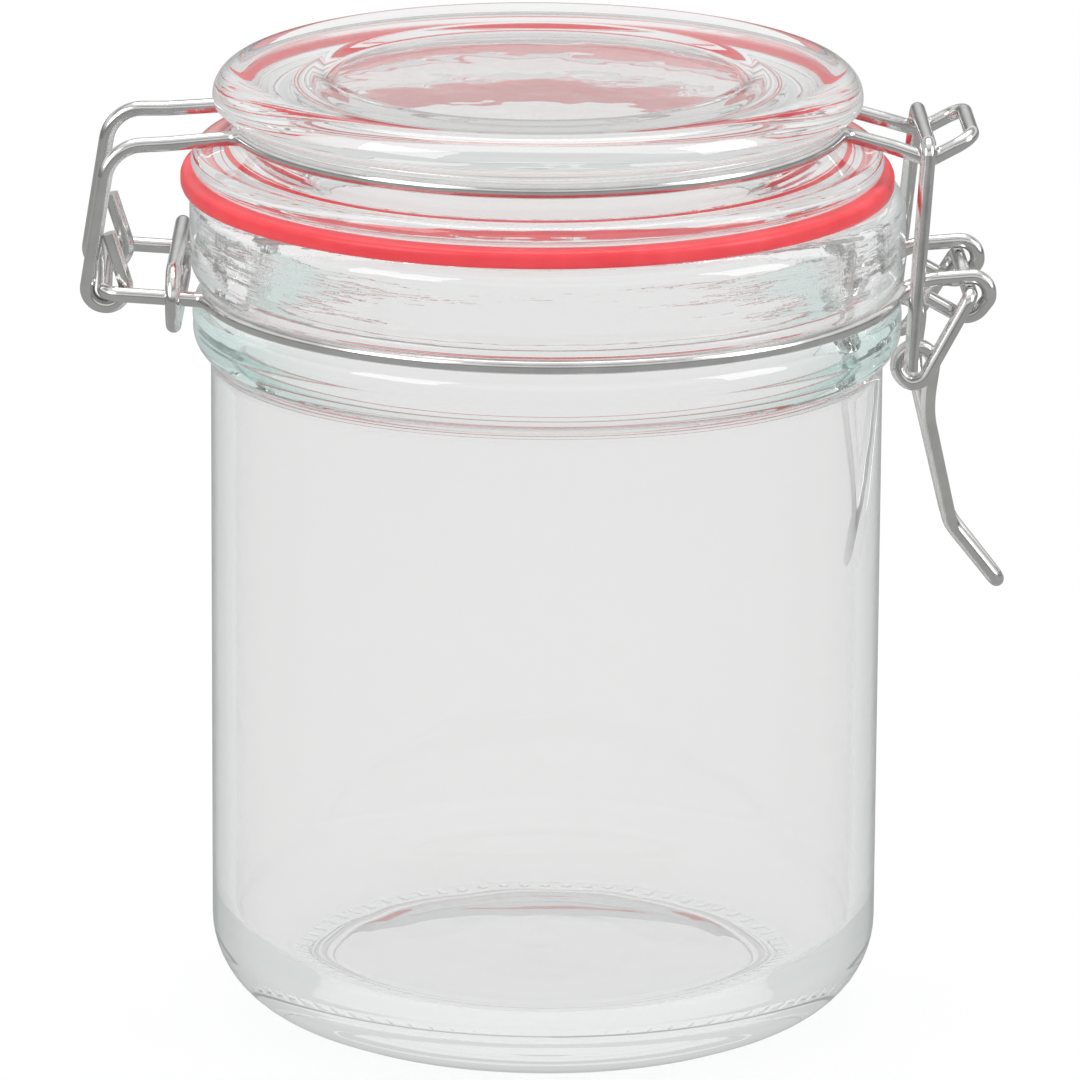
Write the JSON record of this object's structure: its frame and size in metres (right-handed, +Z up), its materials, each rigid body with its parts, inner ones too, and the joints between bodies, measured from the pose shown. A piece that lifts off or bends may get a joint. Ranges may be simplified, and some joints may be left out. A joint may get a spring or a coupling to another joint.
{
  "type": "clip-top glass storage jar",
  "caption": "Round clear glass storage jar with a hinged glass lid, rubber seal and wire clip closure, standing empty and latched shut.",
  "frame": {"origin": "centre of the base, on the surface that the jar stands on", "axes": "+Z up along the jar's axis; the lid hinge is on the -X side and the clasp on the +X side"},
  "size_m": [0.1243, 0.0972, 0.1294],
  "materials": {
    "jar_glass": "clear moulded glass with a faint green tint at thick places",
    "lid_glass": "clear pressed glass",
    "seal": "soft red rubber, slightly glossy",
    "wire": "drawn steel wire, satin"
  },
  "bodies": {
    "jar": {"jar": "jar_glass", "neck_wire": "wire", "locking_ring": "wire"},
    "lid": {"lid": "lid_glass", "gasket": "seal", "lid_wire": "wire"},
    "link": {"link": "wire"},
    "lever": {"lever": "wire"}
  },
  "joints": [
    {"name": "lid_hinge", "type": "hinge", "parent": "jar", "child": "lid", "pos_m": [-0.059, 0, 0.1021], "axis": [0, -1, 0], "range_deg": [0, 100]},
    {"name": "link_swing", "type": "hinge", "parent": "lid", "child": "link", "pos_m": [0.05, 0, 0.12125], "axis": [0, -1, 0], "range_deg": [0, 80]},
    {"name": "lever_swing", "type": "hinge", "parent": "jar", "child": "lever", "pos_m": [0.0558, 0, 0.101], "axis": [0, -1, 0], "range_deg": [0, 110]}
  ]
}
